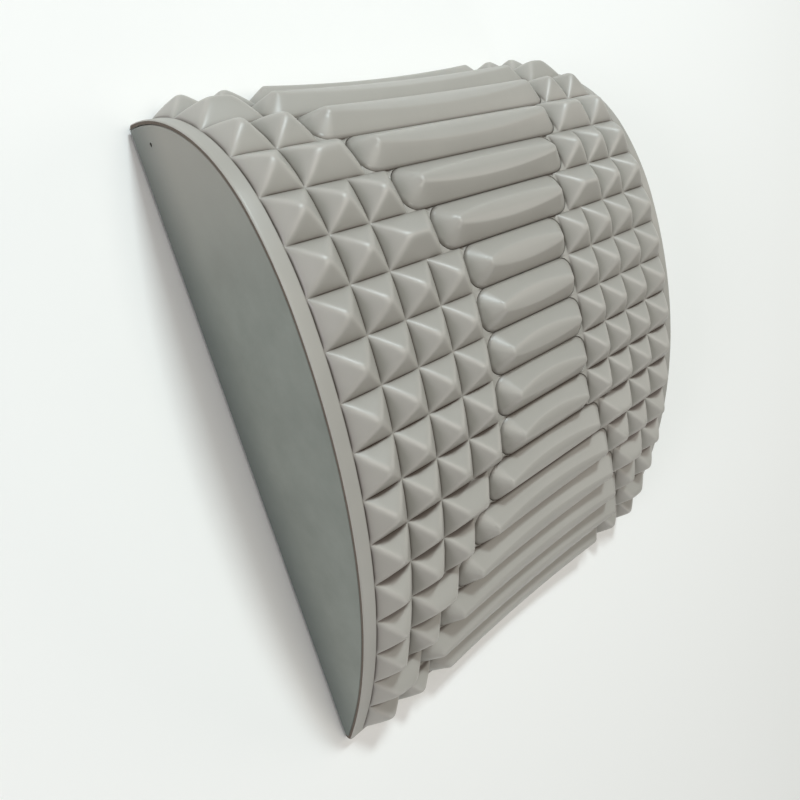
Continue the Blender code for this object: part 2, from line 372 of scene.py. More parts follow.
def foot_line(cells, ends):
    """Height and shade of a crease, from the cells that touch it and the way to each one's end."""
    heights = [border_height(cell.bar, end) for cell, end in zip(cells, ends)]
    if len(cells) == 1:
        heights.append(-(RIM_CREASE_CORNER + RIM_CREASE * smooth(ends[0] / SWELL_END)))
    level = min(heights)
    if any(cell.bar for cell in cells):
        return level, -level / CREASE_DEPTH
    return level, BORDER_SHADE + (1 - BORDER_SHADE) * smooth(min(ends) / SHADE_END)


def on_border(i, j):
    """A point on the crease between two rows. Its place is the mean of what both rows ask for."""
    rows = sorted({max(0, i // (2 * STEPS) - 1), min(ROWS - 1, i // (2 * STEPS))})
    cells = [find_cell(row, j) for row in rows]
    places = [place_across(cell, j) for cell in cells]
    ends = [min(y - cell.low, cell.high - y) * (HIP_SHARE if cell.bar else 1.0)
            for cell, y in zip(cells, places)]
    height, shade = foot_line(cells, ends)
    return i * HALF_ROW / STEPS, sum(places) / len(places), height, shade


def between_cells(row, j, from_border):
    """Place, height and shade of a point on the crease between two cells of one row."""
    cell = find_cell(row, j)
    touching = [other for other in row_cells[row] if j in (other.first, other.last)]
    height, shade = foot_line(touching, [from_border] * len(touching))
    return cell.low if j == cell.first else cell.high, height, shade


print("crease along the rim", round(foot_line([row_cells[0][0]], [HALF])[0] / MM, 2), "mm")

# %% [markdown]
# ## Bars and pyramids
# Where a bar turns its corner, the square rings of the grid would cut across the real form. The
# points near a corner are slid on to arcs instead: wide ones at the foot and tight ones at the
# crest, with a small level corner left between the foot and the neighbours.

# %% Rounded corners of a bar
LEVEL_RINGS = 2  # of a bar's rings, which lie outside its foot, on the level corner


def round_corner(k_across, k_along):
    """Distances from both borders, and from the foot, of a point near a corner of a bar."""
    ring, station = sorted((k_across, k_along))
    inside = ring_of_bar(ring, END_EDGE)
    radius = BAR_CORNER + (CREST_CORNER - BAR_CORNER) * min(1.0, inside / END_EDGE)
    radius = min(radius, HALF_ROW - inside)
    heart = inside + radius
    last = next(k for k in range(STEPS + 1) if ring_of_bar(k, END_EDGE) >= heart)
    if station > last:
        places = (inside, ring_of_bar(station, END_EDGE))
    else:
        turn = math.pi / 4 * (last - station) / (last - ring)
        if ring < LEVEL_RINGS:
            border = heart / math.cos(turn)
            radius = border if ring == 0 else min(BAR_CORNER + CREASE, (border + BAR_CORNER) / 2)
            inside = BAR_CORNER - radius
        places = (heart - radius * math.cos(turn), heart - radius * math.sin(turn))
    return *(places if k_across <= k_along else reversed(places)), inside


print("first arc, in mm:", [round(v / MM, 2) for v in round_corner(3, 3)])

# %% Points of a bar
FOOT_CREASE_SHADE = 0.9  # at the foot itself, fading over the crease outside it
# painted highlight along the edges of a bar's crest
CREST_HIGHLIGHT = 0.6
CREST_HIGHLIGHT_REACH = 0.9 * MM


def press_bar(row, side, k_along, j):
    """Distance from the row's border, place across, height and shade of a point in a bar's cell.

    The crest is lowest in the middle. Side is -1 on the heel's side of the bar and 1 on the toe's.
    """
    cell = find_cell(row, j)
    y = place_across(cell, j)
    half_across, middle = (cell.high - cell.low) / 2, (cell.high + cell.low) / 2
    out = 1 if y > middle else -1
    a = (half_across - abs(y - middle)) * HIP_SHARE
    reach = min(1.0, abs(y - middle) / (half_across - END_EDGE / HIP_SHARE))
    crest = CREST - SCOOP * (1 - reach ** 2)
    b = ring_of_bar(k_along, CREASE + crest / SLOPE)
    inside = min(a, b)
    k_across = min(j - cell.first, cell.last - j)
    if max(k_across, k_along) < STEPS:
        a, b, inside = round_corner(k_across, k_along)
    y = middle + out * (half_across - a / HIP_SHARE)
    # painted shade at the crease and the foot, and painted shadow behind the row before
    if inside > 0:
        shade = shade_near(inside, HALF)
    else:
        shade = max(0.0, 1 + inside / CREASE) * FOOT_CREASE_SHADE
    if side < 0:
        shade = max(shade, shade_under(row, b, (y - cell.low) / (cell.high - cell.low), True))
    slope = SLOPE * (inside - CREASE)
    # painted highlight on the edges of the crest
    shade -= CREST_HIGHLIGHT * ridge_highlight_near(*sorted((slope, crest)), CREST_HIGHLIGHT_REACH)
    return b, y, bar_height(inside, crest), shade


middle_of_bar = press_bar(ROWS // 2, 1, STEPS, column_of(HALVES) // 2)
print("middle of a short bar", round(middle_of_bar[2] / MM, 2), "mm high")

# %% Points of a pyramid
RIDGE_HIGHLIGHT_REACH = 1.8 * MM


def press_pyramid(row, side, b, j):
    """Place across, height and shade of a point in a pyramid's cell, b from the row's border."""
    cell = find_cell(row, j)
    y = place_across(cell, j)
    sides = (y - cell.low, cell.high - y, b, ROW_PITCH - b)
    lowest, next_lowest = sorted(sides)[:2]
    from_heel = b if side < 0 else ROW_PITCH - b
    # painted shade by the creases, and painted shadow at the foot
    shade = shade_near(*sorted((min(sides[:2]), b)))
    shade = max(shade, shade_under(row, from_heel, sides[0] / (cell.high - cell.low), False))
    # painted highlight on the ridges
    shade -= ridge_highlight_near(lowest, next_lowest, RIDGE_HIGHLIGHT_REACH)
    return y, pyramid_height(*sides), shade


print("first point of a pyramid, in m:", [round(v, 5) for v in press_pyramid(0, -1, RINGS[1], 1)])

# %% [markdown]
# ## Press the sheet
# `create_grid` makes the flat sheet. Each of its points then goes where the mould puts it. The
# two numbers that the finishes need travel along in layers of the mesh: "hollow" for painted shade
# and painted highlight, and "deep" for how far down the cut edge a point lies.

# %% The pressed sheet
def press(i, j):
    """Length along the crown, place across, height and shade of one point of the grid."""
    row, line = divmod(i, 2 * STEPS)
    if line == 0:
        return on_border(i, j)
    k = min(line, 2 * STEPS - line)
    side = 1 if line > STEPS else -1
    b = min(RINGS[k], HALF_ROW)
    cell = find_cell(row, j)
    if j in (cell.first, cell.last):
        y, height, shade = between_cells(row, j, b)
    elif cell.bar:
        b, y, height, shade = press_bar(row, side, k, j)
    else:
        y, height, shade = press_pyramid(row, side, b, j)
    return (2 * row + 1) * HALF_ROW + side * (HALF_ROW - b), y, height, shade


def pressed_sheet():
    """The field of the mat: a flat grid with every point put where the mould puts it."""
    bm = bmesh.new()
    hollow = bm.verts.layers.float.new("hollow")
    bm.verts.layers.float.new("deep")
    rows, columns = ROWS * 2 * STEPS, column_of(HALVES)
    bmesh.ops.create_grid(bm, x_segments=rows, y_segments=columns, size=0.5)
    for vert in bm.verts:
        i, j = round((vert.co.x + 0.5) * rows), round((vert.co.y + 0.5) * columns)
        *vert.co, vert[hollow] = press(i, j)
    return bm


sheet = pressed_sheet()
print("pressed sheet:", len(sheet.verts), "points,", len(sheet.faces), "faces")

# %% [markdown]
# ## Rims, and the bend
# Along both long sides of the field runs a plain rim. It ends in a cut edge, where the raw foam
# shows as a thin dark line. `extrude_edge_only` draws the rim out from the sheet's own edge, a
# step at a time, while the sheet is still flat. Then one function lays it all over the crown: a
# lattice or a curve modifier could bend it too, but would not keep the real lengths.

# %% Draw out the rims and bend the sheet
SKIN = 2.0 * MM
RIM_STEPS = ((0.32, 0.0), (0.9, 0.0), (6.9, 0.0), (7.5, -0.07), (7.85, -0.26), (8.0, -0.6),
             (8.0, -0.8), (8.0, -2.0), (7.6, -2.0))  # outwards and up, in mm
LIP_PLACE = FIELD_HALF + RIM_STEPS[-1][0] * MM
LEVEL = 0.001 * MM  # points that differ by less than this are level with each other
# painted shade along the crease where the rims and the ends start
END_CREASE_SHADE = 0.5


def draw_out_rims(bm):
    """Extrudes the two sides of the flat sheet into rims with a cut edge and an inner lip."""
    hollow = bm.verts.layers.float["hollow"]
    deep = bm.verts.layers.float["deep"]
    for side in (-1, 1):
        line = [e for e in bm.edges if e.is_boundary
                and all(abs(v.co.y - side * FIELD_HALF) < TOUCH for v in e.verts)]
        for step, (out, height) in enumerate(RIM_STEPS):
            made = bmesh.ops.extrude_edge_only(bm, edges=line)["geom"]
            line = [g for g in made if isinstance(g, bmesh.types.BMEdge)]
            for vert in {v for e in line for v in e.verts}:
                vert.co.y = side * (FIELD_HALF + out * MM)
                vert.co.z = height * MM
                vert[hollow] = END_CREASE_SHADE if step == 0 else 0.0
                vert[deep] = -height * MM / SKIN


def bend(bm):
    """Lays the flat sheet over the crown."""
    for vert in bm.verts:
        vert.co.x, vert.co.z = on_crown(vert.co.x, vert.co.z)


draw_out_rims(sheet)
open_edges = [e for e in sheet.edges if e.is_boundary]
heel_line = [e for e in open_edges if all(v.co.x < LEVEL for v in e.verts)]
toe_line = [e for e in open_edges if all(v.co.x > CROWN_LENGTH - LEVEL for v in e.verts)]
bend(sheet)
print("heel edges:", len(heel_line), "toe edges:", len(toe_line))

# %% [markdown]
# ## Ends of the mat
# At the heel the mat runs down to the base and tucks in under itself. At the toe it is rolled
# round a small radius. Both ends follow two paths at once, an outer one for the skin and an inner
# one for its underside, and a point of the cut edge lies between them by how deep it is.

# %% Paths of the heel and the toe
BASE_TOP = 1.8 * MM
HEEL_RUN = 4.0 * MM
HEEL_TUCK = 1.7 * MM
FOOT_HEIGHT = 0.3 * MM
FOOT_TUCK = 0.4 * MM
TOE_RUN = 3.0 * MM
TOE_RADIUS = 2.0 * MM
TOE_STEPS = 6
TOE_TUCK = math.radians(127.0)


def heel_paths():
    """Outer and inner places of the steps down the heel, to the foot."""
    outer = [on_crown(-CREASE), on_crown(-HEEL_RUN)]
    inner = [on_crown(-CREASE, -SKIN), on_crown(-HEEL_RUN, -SKIN)]
    outer.append((outer[-1][0] + HEEL_TUCK, BASE_TOP + FOOT_HEIGHT))
    inner.append((inner[-1][0], BASE_TOP + FOOT_HEIGHT))
    outer.append((outer[-1][0] + FOOT_TUCK, BASE_TOP))
    inner.append((inner[-1][0], BASE_TOP))
    return list(zip(outer, inner))


def toe_paths():
    """The same for the toe, which is rolled."""
    outer = [on_crown(CROWN_LENGTH + CREASE), on_crown(CROWN_LENGTH + TOE_RUN)]
    x, z = outer[-1]
    for k in range(1, TOE_STEPS + 1):
        slope = END_SLOPE + (TOE_TUCK - END_SLOPE) * k / TOE_STEPS
        outer.append((x + TOE_RADIUS * (math.sin(slope) - math.sin(END_SLOPE)),
                      z - TOE_RADIUS * (math.cos(END_SLOPE) - math.cos(slope))))
    x, z = outer[-1]
    outer.append((x + (z - BASE_TOP) / math.tan(TOE_TUCK), BASE_TOP))
    start, top = on_crown(CROWN_LENGTH + TOE_RUN, -SKIN)
    inner = [on_crown(CROWN_LENGTH + CREASE, -SKIN), (start, top)]
    inner += [(start, top - (top - BASE_TOP) * k / (TOE_STEPS + 1))
              for k in range(1, TOE_STEPS + 2)]
    return list(zip(outer, inner))


print("steps down the heel:", len(heel_paths()), "and the toe:", len(toe_paths()))

# %% [markdown]
# ## Close the mat
# Both ends are drawn out along those paths, as the rims were. `bridge_loops` then joins the two
# lips under the arch and `holes_fill` closes the feet, so that the mat is one closed skin, as a
# real piece is. Last, every face with four corners is split along its longer diagonal, which runs
# along a pyramid's ridges. Left whole, it could be split across them, and the ridge would be torn.

# %% Heel, toe and underside
def draw_out_border(bm, line, paths):
    """Extrudes one end of the bent sheet along an outer and an inner path."""
    hollow = bm.verts.layers.float["hollow"]
    deep = bm.verts.layers.float["deep"]
    for step, (outer, inner) in enumerate(paths):
        made = bmesh.ops.extrude_edge_only(bm, edges=line)["geom"]
        line = [g for g in made if isinstance(g, bmesh.types.BMEdge)]
        for vert in {v for e in line for v in e.verts}:
            in_field = abs(vert.co.y) < FIELD_HALF + TOUCH
            vert[hollow] = END_CREASE_SHADE if in_field and step == 0 else 0.0
            vert.co.x = outer[0] + (inner[0] - outer[0]) * vert[deep]
            vert.co.z = outer[1] + (inner[1] - outer[1]) * vert[deep]


def close_underside(bm):
    """Bridges the inner lips under the arch, then fills the two feet."""
    lips = [e for e in bm.edges if e.is_boundary
            and all(abs(abs(v.co.y) - LIP_PLACE) < TOUCH for v in e.verts)]
    bmesh.ops.bridge_loops(bm, edges=lips)
    feet = [e for e in bm.edges if e.is_boundary]
    bmesh.ops.holes_fill(bm, edges=feet, sides=0)


draw_out_border(sheet, heel_line, heel_paths())
draw_out_border(sheet, toe_line, toe_paths())
close_underside(sheet)
bmesh.ops.triangulate(sheet, faces=[f for f in sheet.faces if len(f.verts) == 4],
                      quad_method="LONG_EDGE")
bmesh.ops.recalc_face_normals(sheet, faces=sheet.faces)
print("mat:", len(sheet.faces), "faces, open edges:", sum(e.is_boundary for e in sheet.edges))

# %% [markdown]
# ## Helpers for finishes
# Each finish is named for what the material is and how its surface was made. Colours are written
# as hex values, as a colour picker shows them, and one function turns them to the linear light
# that the renderer works in. Another adds a node with its settings and links. Roughness and
# specular level start from typical values for the material and were then matched to the photo.
# They are the same all over a surface, so they are set on the shader's own sockets, where an
# export can find them.

# %% Colours, nodes and shaders
MIX_SHARE, MIX_FIRST, MIX_SECOND, MIX_RESULT = 0, 6, 7, 2  # sockets of a Mix node for colours


def linear(hex_colour):
    """Linear colour from an sRGB hex value, by the standard's own curve."""
    parts = [int(hex_colour[k:k + 2], 16) / 255 for k in (1, 3, 5)]
    return [v / 12.92 if v <= 0.04045 else ((v + 0.055) / 1.055) ** 2.4 for v in parts] + [1.0]


def add_node(owner, kind, links=None, **settings):
    """Adds a node to a material or world, with its settings by name and inputs by socket."""
    node = owner.node_tree.nodes.new(kind)
    for name, value in settings.items():
        setattr(node, name, value)
    for socket, value in (links or {}).items():
        if isinstance(value, bpy.types.NodeSocket):
            owner.node_tree.links.new(value, node.inputs[socket])
        else:
            node.inputs[socket].default_value = value
    return node


def new_finish(name, roughness, specular):
    """Material with only its shader, and that shader's constants set."""
    material = bpy.data.materials.new(name)
    material.use_nodes = True
    shader = material.node_tree.nodes["Principled BSDF"]
    shader.inputs["Roughness"].default_value = roughness
    shader.inputs["Specular IOR Level"].default_value = specular
    return material, shader


def join_up(material, shader, colour, bump):
    """Links the colour and the bump to the shader."""
    links = material.node_tree.links
    links.new(colour.outputs[MIX_RESULT], shader.inputs["Base Color"])
    links.new(bump.outputs["Normal"], shader.inputs["Normal"])
    return material


print("mid grey #808080 in linear light:", round(linear("#808080")[0], 3))

# %% [markdown]
# ## Finish of the mat
# The mat is closed-cell foam, and the hot mould melts a thin skin on it. Its painted shade and
# highlight could be drawn on a picture that is wrapped round it, but a picture has a fixed size and
# a seam. Here slow noise gives the tint, and the layer "hollow" mixes painted shade and a painted
# highlight into it, so that both sit exactly on the creases and ridges.

# %% Moulded foam skin
# Satin to the eye: broad soft highlights, slow waves in them, and hardly any grain.
CLOUD = 55.0 * MM  # slow drift of the tint, as wide as a hand
WAVE = 12.0 * MM  # half a pyramid, from the uneven filling of the mould
SKIN_GRAIN = 0.9 * MM  # 0.1 mm on the real skin, which is too fine to show, so it is coarser here
FULL_HIGHLIGHT = 0.6


def moulded_foam():
    """Warm light grey, with painted shade in brown where the layer hollow is above 0 and a painted
    highlight where it is below.
    """
    material, shader = new_finish(
        "closed-cell foam, mould skinned, warm light grey", roughness=0.41, specular=0.62)
    place = add_node(material, "ShaderNodeTexCoord").outputs["Object"]
    cloud = add_node(material, "ShaderNodeTexNoise", {
        "Vector": place, "Scale": 1 / CLOUD, "Detail": 3.0})
    tint = add_node(material, "ShaderNodeMix", {
        MIX_SHARE: cloud.outputs["Fac"], MIX_FIRST: linear("#A19E97"),
        MIX_SECOND: linear("#ABA8A1")}, data_type="RGBA")
    hollow = add_node(material, "ShaderNodeAttribute", attribute_name="hollow").outputs["Fac"]
    ridge = add_node(material, "ShaderNodeMapRange", {
        "Value": hollow, "From Min": 0.0, "From Max": -1.0, "To Min": 0.0, "To Max": FULL_HIGHLIGHT})
    # painted highlight: the ridges are mixed towards a light grey
    painted_highlight = add_node(material, "ShaderNodeMix", {
        MIX_SHARE: ridge.outputs[0], MIX_FIRST: tint.outputs[MIX_RESULT],
        MIX_SECOND: linear("#C4BFB8")}, data_type="RGBA")
    # painted shade: the creases are mixed towards dark brown
    painted_shade = add_node(material, "ShaderNodeMix", {
        MIX_SHARE: hollow, MIX_FIRST: painted_highlight.outputs[MIX_RESULT],
        MIX_SECOND: linear("#45372D")}, data_type="RGBA")
    wave = add_node(material, "ShaderNodeTexNoise", {
        "Vector": place, "Scale": 1 / WAVE, "Detail": 1.0})
    grain = add_node(material, "ShaderNodeTexNoise", {
        "Vector": place, "Scale": 1 / SKIN_GRAIN, "Detail": 2.0})
    slow = add_node(material, "ShaderNodeBump", {
        "Height": wave.outputs["Fac"], "Strength": 0.25, "Distance": 0.6 * MM})
    bump = add_node(material, "ShaderNodeBump", {
        "Height": grain.outputs["Fac"], "Strength": 0.12, "Distance": 0.12 * MM,
        "Normal": slow.outputs["Normal"]})
    return join_up(material, shader, painted_shade, bump)


foam_skin = moulded_foam()
print("made", foam_skin.name)

# %% [markdown]
# ## Finish of the cut edge
# The knife that trims the mat leaves no skin, so the edge is raw foam with open pores. A thin
# strip could be laid on it as a piece of its own. But it is the same foam, so the faces of the
# edge get a second material instead, and the mat stays one piece.

# %% Cut edge of the foam
# Matt to the eye, brown grey and finely pitted: it draws the thin dark line along both arcs.
PORES = 1.1 * MM  # 0.3 mm on the real foam, drawn coarser to show


def cut_foam():
    """Dark brown grey with open pores."""
    material, shader = new_finish(
        "closed-cell foam, knife cut edge, brown grey", roughness=0.75, specular=0.3)
    place = add_node(material, "ShaderNodeTexCoord").outputs["Object"]
    pores = add_node(material, "ShaderNodeTexNoise", {
        "Vector": place, "Scale": 1 / PORES, "Detail": 3.0})
    tint = add_node(material, "ShaderNodeMix", {
        MIX_SHARE: pores.outputs["Fac"], MIX_FIRST: linear("#584F46"),
        MIX_SECOND: linear("#6A6056")}, data_type="RGBA")
    bump = add_node(material, "ShaderNodeBump", {
        "Height": pores.outputs["Fac"], "Strength": 0.4, "Distance": 0.3 * MM})
    return join_up(material, shader, tint, bump)


foam_edge = cut_foam()
print("made", foam_edge.name)

# %% [markdown]
# ## From a bmesh to a piece
# Every piece becomes an object in the same way: its mesh is smoothed except at sharp edges, it
# rides on the cushion's one body, and the solid that it stands for is hidden.

# %% Make the mat a piece
MAT_SHARP = 50  # degrees: ridges shade smoothly, deep creases and the cut edge stay crisp
CUT_STARTS = 0.29  # share of the skin's depth from which the cut edge shows


def new_piece(name, bm, finishes, node, sharp):
    """Turns a bmesh into a finished piece that rides on the body and stands for its solid."""
    mesh = bpy.data.meshes.new(name)
    bm.to_mesh(mesh)
    bm.free()
    for finish in finishes:
        mesh.materials.append(finish)
    mesh.shade_smooth()
    mesh.set_sharp_from_angle(angle=math.radians(sharp))
    piece = bpy.data.objects.new(name, mesh)
    bpy.context.scene.collection.objects.link(piece)
    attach(piece, "root")
    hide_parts(node)
    print(name, len(mesh.polygons), "faces")


deep = sheet.verts.layers.float["deep"]
for face in sheet.faces:
    at_edge = all(abs(v.co.y) > WIDTH_HALF - TOUCH and v[deep] > CUT_STARTS for v in face.verts)
    face.material_index = 1 if at_edge else 0
new_piece("relief_mat", sheet, [foam_skin, foam_edge], "massage_mat", MAT_SHARP)

# %% [markdown]
# ## Side panels
# The ends of the body are closed by smooth foam sheets, cut to the arch just under the mat. A
# panel could be cut from the mat's own mesh, but would then carry all its points. It is one flat
# face with that outline instead, extruded to its thickness, with its rim beveled so that it
# catches a thin line of light.

# %% Outline under the mat
INSIDE = 2.3 * MM  # under the skin of the mat, with a hair's breadth between
PANEL = 3.0 * MM
PANEL_ROUND = 0.35 * MM
OUTLINE_STEPS = 120


def outline_under_mat():
    """Side outline of the body under the mat, from foot to foot."""
    line = [on_crown(-HEEL_RUN, -INSIDE)]
    line += [on_crown(CROWN_LENGTH * k / OUTLINE_STEPS, -INSIDE) for k in range(OUTLINE_STEPS + 1)]
    line += [on_crown(CROWN_LENGTH + TOE_RUN, -INSIDE)]
    return [(line[0][0], BASE_TOP)] + line + [(line[-1][0], BASE_TOP)]


def slab_across(low, high):
    """Solid with that outline, made by extruding one face across the body."""
    bm = bmesh.new()
    face = bm.faces.new([bm.verts.new((x, low, z)) for x, z in outline_under_mat()])
    made = bmesh.ops.extrude_face_region(bm, geom=[face])["geom"]
    moved = [g for g in made if isinstance(g, bmesh.types.BMVert)]
    bmesh.ops.translate(bm, verts=moved, vec=(0, high - low, 0))
    bmesh.ops.recalc_face_normals(bm, faces=bm.faces)
    return bm


def panel_slab(low, high):
    """The same with the edges of its two faces rounded off."""
    bm = slab_across(low, high)
    edges = [e for e in bm.edges if abs(e.verts[0].co.y - e.verts[1].co.y) < LEVEL]
    bmesh.ops.bevel(bm, geom=edges, offset=PANEL_ROUND, segments=2, profile=0.5,
                    affect="EDGES", material=-1, clamp_overlap=True)
    return bm


print("outline points:", len(outline_under_mat()))

# %% [markdown]
# ## The vent
# The near panel has a small round hole near the heel, where air leaves the foam when it is
# pressed. A dark dot could be painted there, but only a real hole has a rim and a depth from
# every side. A boolean with a thin cylinder drills it, as a punch does.

# %% Drill the vent
VENT_RADIUS = 1.0 * MM
VENT_FROM_HEEL = 12.8 * MM
VENT_HEIGHT = 17.7 * MM
DRILL_LENGTH = 20.0 * MM


def loose_object(name, bm):
    """An object for a moment, so that a modifier can use its mesh."""
    mesh = bpy.data.meshes.new(name)
    bm.to_mesh(mesh)
    bm.free()
    made = bpy.data.objects.new(name, mesh)
    bpy.context.scene.collection.objects.link(made)
    return made


def vent_cut(bm):
    """Cuts the small round vent through the near panel."""
    drill = bmesh.new()
    bmesh.ops.create_cone(drill, cap_ends=True, segments=32, radius1=VENT_RADIUS,
                          radius2=VENT_RADIUS, depth=DRILL_LENGTH)
    bmesh.ops.rotate(drill, verts=drill.verts, matrix=Matrix.Rotation(math.pi / 2, 3, "X"))
    bmesh.ops.translate(drill, verts=drill.verts,
                        vec=(heel_x + VENT_FROM_HEEL, -WIDTH_HALF, VENT_HEIGHT))
    panel, tool = loose_object("uncut", bm), loose_object("drill", drill)
    cut = panel.modifiers.new("vent", "BOOLEAN")
    cut.operation = "DIFFERENCE"
    cut.object = tool
    bpy.context.view_layer.update()
    result = bmesh.new()
    result.from_object(panel, bpy.context.evaluated_depsgraph_get())
    for used in (panel, tool):
        bpy.data.objects.remove(used)
    return result


near_panel = vent_cut(panel_slab(-WIDTH_HALF, -WIDTH_HALF + PANEL))
far_panel = panel_slab(WIDTH_HALF - PANEL, WIDTH_HALF)
print("near panel:", len(near_panel.faces), "faces, far panel:", len(far_panel.faces))

# %% [markdown]
# ## Finish of the panels
# The panels are foam sheet whose face was sealed with heat, which leaves a duller skin than the
# mould does. One flat colour would look like plastic. So noise as large as a palm makes smudges,
# and two soft gradients follow the panel itself: warm towards the heel, and painted shade that
# darkens it towards the floor.

# %% Skinned foam of the panels
# Dull satin to the eye: a cloudy grey green, with painted shade that darkens it near the floor.
SMUDGE = 30.0 * MM  # as a palm leaves
PANEL_GRAIN = 1.2 * MM  # 0.2 mm on the real sheet, drawn coarser to show
WARM_REACH = 110.0 * MM
# reach and strength of the painted shade towards the floor
DARK_REACH = 34.0 * MM
FULL_DARK = 0.72
FLAT_SHARP = 15  # degrees: flat faces stay flat up to their rounded rims


def panel_foam():
    """Grey green foam sheet with a heat-sealed skin."""
    material, shader = new_finish("foam sheet, heat skinned, grey green", roughness=0.5,
                                  specular=0.4)
    place = add_node(material, "ShaderNodeTexCoord").outputs["Object"]
    smudge = add_node(material, "ShaderNodeTexNoise", {
        "Vector": place, "Scale": 1 / SMUDGE, "Detail": 5.0, "Roughness": 0.62})
    tint = add_node(material, "ShaderNodeMix", {
        MIX_SHARE: smudge.outputs["Fac"], MIX_FIRST: linear("#6B7069"),
        MIX_SECOND: linear("#898E86")}, data_type="RGBA")
    parts = add_node(material, "ShaderNodeSeparateXYZ", {"Vector": place})
    heel = add_node(material, "ShaderNodeMapRange", {
        "Value": parts.outputs["X"], "From Min": heel_x + WARM_REACH, "From Max": heel_x,
        "To Min": 0.0, "To Max": 1.0}, interpolation_type="SMOOTHSTEP")
    warm = add_node(material, "ShaderNodeMix", {
        MIX_SHARE: heel.outputs[0], MIX_FIRST: tint.outputs[MIX_RESULT],
        MIX_SECOND: linear("#96948C")}, data_type="RGBA")
    # painted shade: darker towards the floor
    foot = add_node(material, "ShaderNodeMapRange", {
        "Value": parts.outputs["Z"], "From Min": DARK_REACH, "From Max": 0.0,
        "To Min": 0.0, "To Max": FULL_DARK}, interpolation_type="SMOOTHSTEP")
    dark = add_node(material, "ShaderNodeMix", {
        MIX_SHARE: foot.outputs[0], MIX_FIRST: warm.outputs[MIX_RESULT],
        MIX_SECOND: linear("#59625F")}, data_type="RGBA")
    grain = add_node(material, "ShaderNodeTexNoise", {
        "Vector": place, "Scale": 1 / PANEL_GRAIN, "Detail": 2.0})
    bump = add_node(material, "ShaderNodeBump", {
        "Height": grain.outputs["Fac"], "Strength": 0.15, "Distance": 0.2 * MM})
    return join_up(material, shader, dark, bump)


panel_skin = panel_foam()
new_piece("panel_right", near_panel, [panel_skin], "side_panel_right", FLAT_SHARP)
new_piece("panel_left", far_panel, [panel_skin], "side_panel_left", FLAT_SHARP)

# %% [markdown]
# ## The core
# Inside is the firm block that carries the back. It could be left out, since only its coverings
# show. But an exploded view shows it, so it is made from the same outline as the panels, and gets
# the face of sawn block foam, with its cells cut open.

# %% Core block
# Matt to the eye, and speckled by the cut cells.
FOAM_CELL = 1.5 * MM  # about twice the real cells, to show
CORE_GAP = 0.3 * MM  # of glue between the core and each panel


def core_foam():
    """Mid grey foam, with the walls of its cells lighter than their insides."""
    material, shader = new_finish("block foam, cut, mid grey", roughness=0.85, specular=0.3)
    place = add_node(material, "ShaderNodeTexCoord").outputs["Object"]
    cells = add_node(material, "ShaderNodeTexVoronoi", {"Vector": place, "Scale": 1 / FOAM_CELL})
    tint = add_node(material, "ShaderNodeMix", {
        MIX_SHARE: cells.outputs["Distance"], MIX_FIRST: linear("#4A4A46"),
        MIX_SECOND: linear("#7A7A74")}, data_type="RGBA")
    bump = add_node(material, "ShaderNodeBump", {
        "Height": cells.outputs["Distance"], "Strength": 0.5, "Distance": 0.5 * MM})
    return join_up(material, shader, tint, bump)


core_half = WIDTH_HALF - PANEL - CORE_GAP
new_piece("foam_core", slab_across(-core_half, core_half), [core_foam()], "core_block",
          FLAT_SHARP)

# %% [markdown]
# ## The base sheet
# A thin rubber sheet keeps the cushion from sliding. From the side only its edge shows, as a dark
# line on the floor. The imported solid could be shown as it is, but its edges are knife sharp. So
# a cube of the solid's own size gets two bevels, round its four corners and then its rims.

# %% Base sheet
# Matt to the eye, dark brown grey, with the fine pebbles that the roller pressed into it.
PEBBLE = 2.0 * MM  # as on common non-slip sheet
SHEET_CORNER = 2.0 * MM
SHEET_ROUND = 0.35 * MM


def rubber():
    """Dark rubber with a pebbled face."""
    material, shader = new_finish("rubber sheet, calendered, dark brown grey", roughness=0.7,
                                  specular=0.4)
    place = add_node(material, "ShaderNodeTexCoord").outputs["Object"]
    pebble = add_node(material, "ShaderNodeTexVoronoi", {"Vector": place, "Scale": 1 / PEBBLE})
    tint = add_node(material, "ShaderNodeMix", {
        MIX_SHARE: pebble.outputs["Distance"], MIX_FIRST: linear("#3A3733"),
        MIX_SECOND: linear("#55514B")}, data_type="RGBA")
    bump = add_node(material, "ShaderNodeBump", {
        "Height": pebble.outputs["Distance"], "Strength": 0.5, "Distance": 0.3 * MM})
    return join_up(material, shader, tint, bump)


def base_slab():
    """Thin sheet with rounded corners under the whole body."""
    low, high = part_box("base_sheet")
    bm = bmesh.new()
    bmesh.ops.create_cube(bm, size=1.0)
    size, middle = high - low, (high + low) / 2
    bmesh.ops.scale(bm, verts=bm.verts, vec=size)
    bmesh.ops.translate(bm, verts=bm.verts, vec=middle)
    upright = [e for e in bm.edges if abs(e.verts[0].co.z - e.verts[1].co.z) > size.z / 2]
    bmesh.ops.bevel(bm, geom=upright, offset=SHEET_CORNER, segments=5, profile=0.5,
                    affect="EDGES", material=-1)
    rim = [e for e in bm.edges if abs(e.verts[0].co.z - e.verts[1].co.z) < LEVEL
           and len(e.link_faces) == 2 and e.calc_face_angle() > 1]
    bmesh.ops.bevel(bm, geom=rim, offset=SHEET_ROUND, segments=2, profile=0.5,
                    affect="EDGES", material=-1)
    return bm


new_piece("base_sheet_rubber", base_slab(), [rubber()], "base_sheet", FLAT_SHARP)

# %% [markdown]
# ## Floor
# The photo is a cut-out on white. The floor could be left out too, but the cushion would float.
# So a plain round floor of pale paper stands in for the white, and takes a soft shadow.

# %% Floor
# Matt to the eye: it takes the shadow softly and mirrors nothing.
FLOOR_RADIUS = 2.0


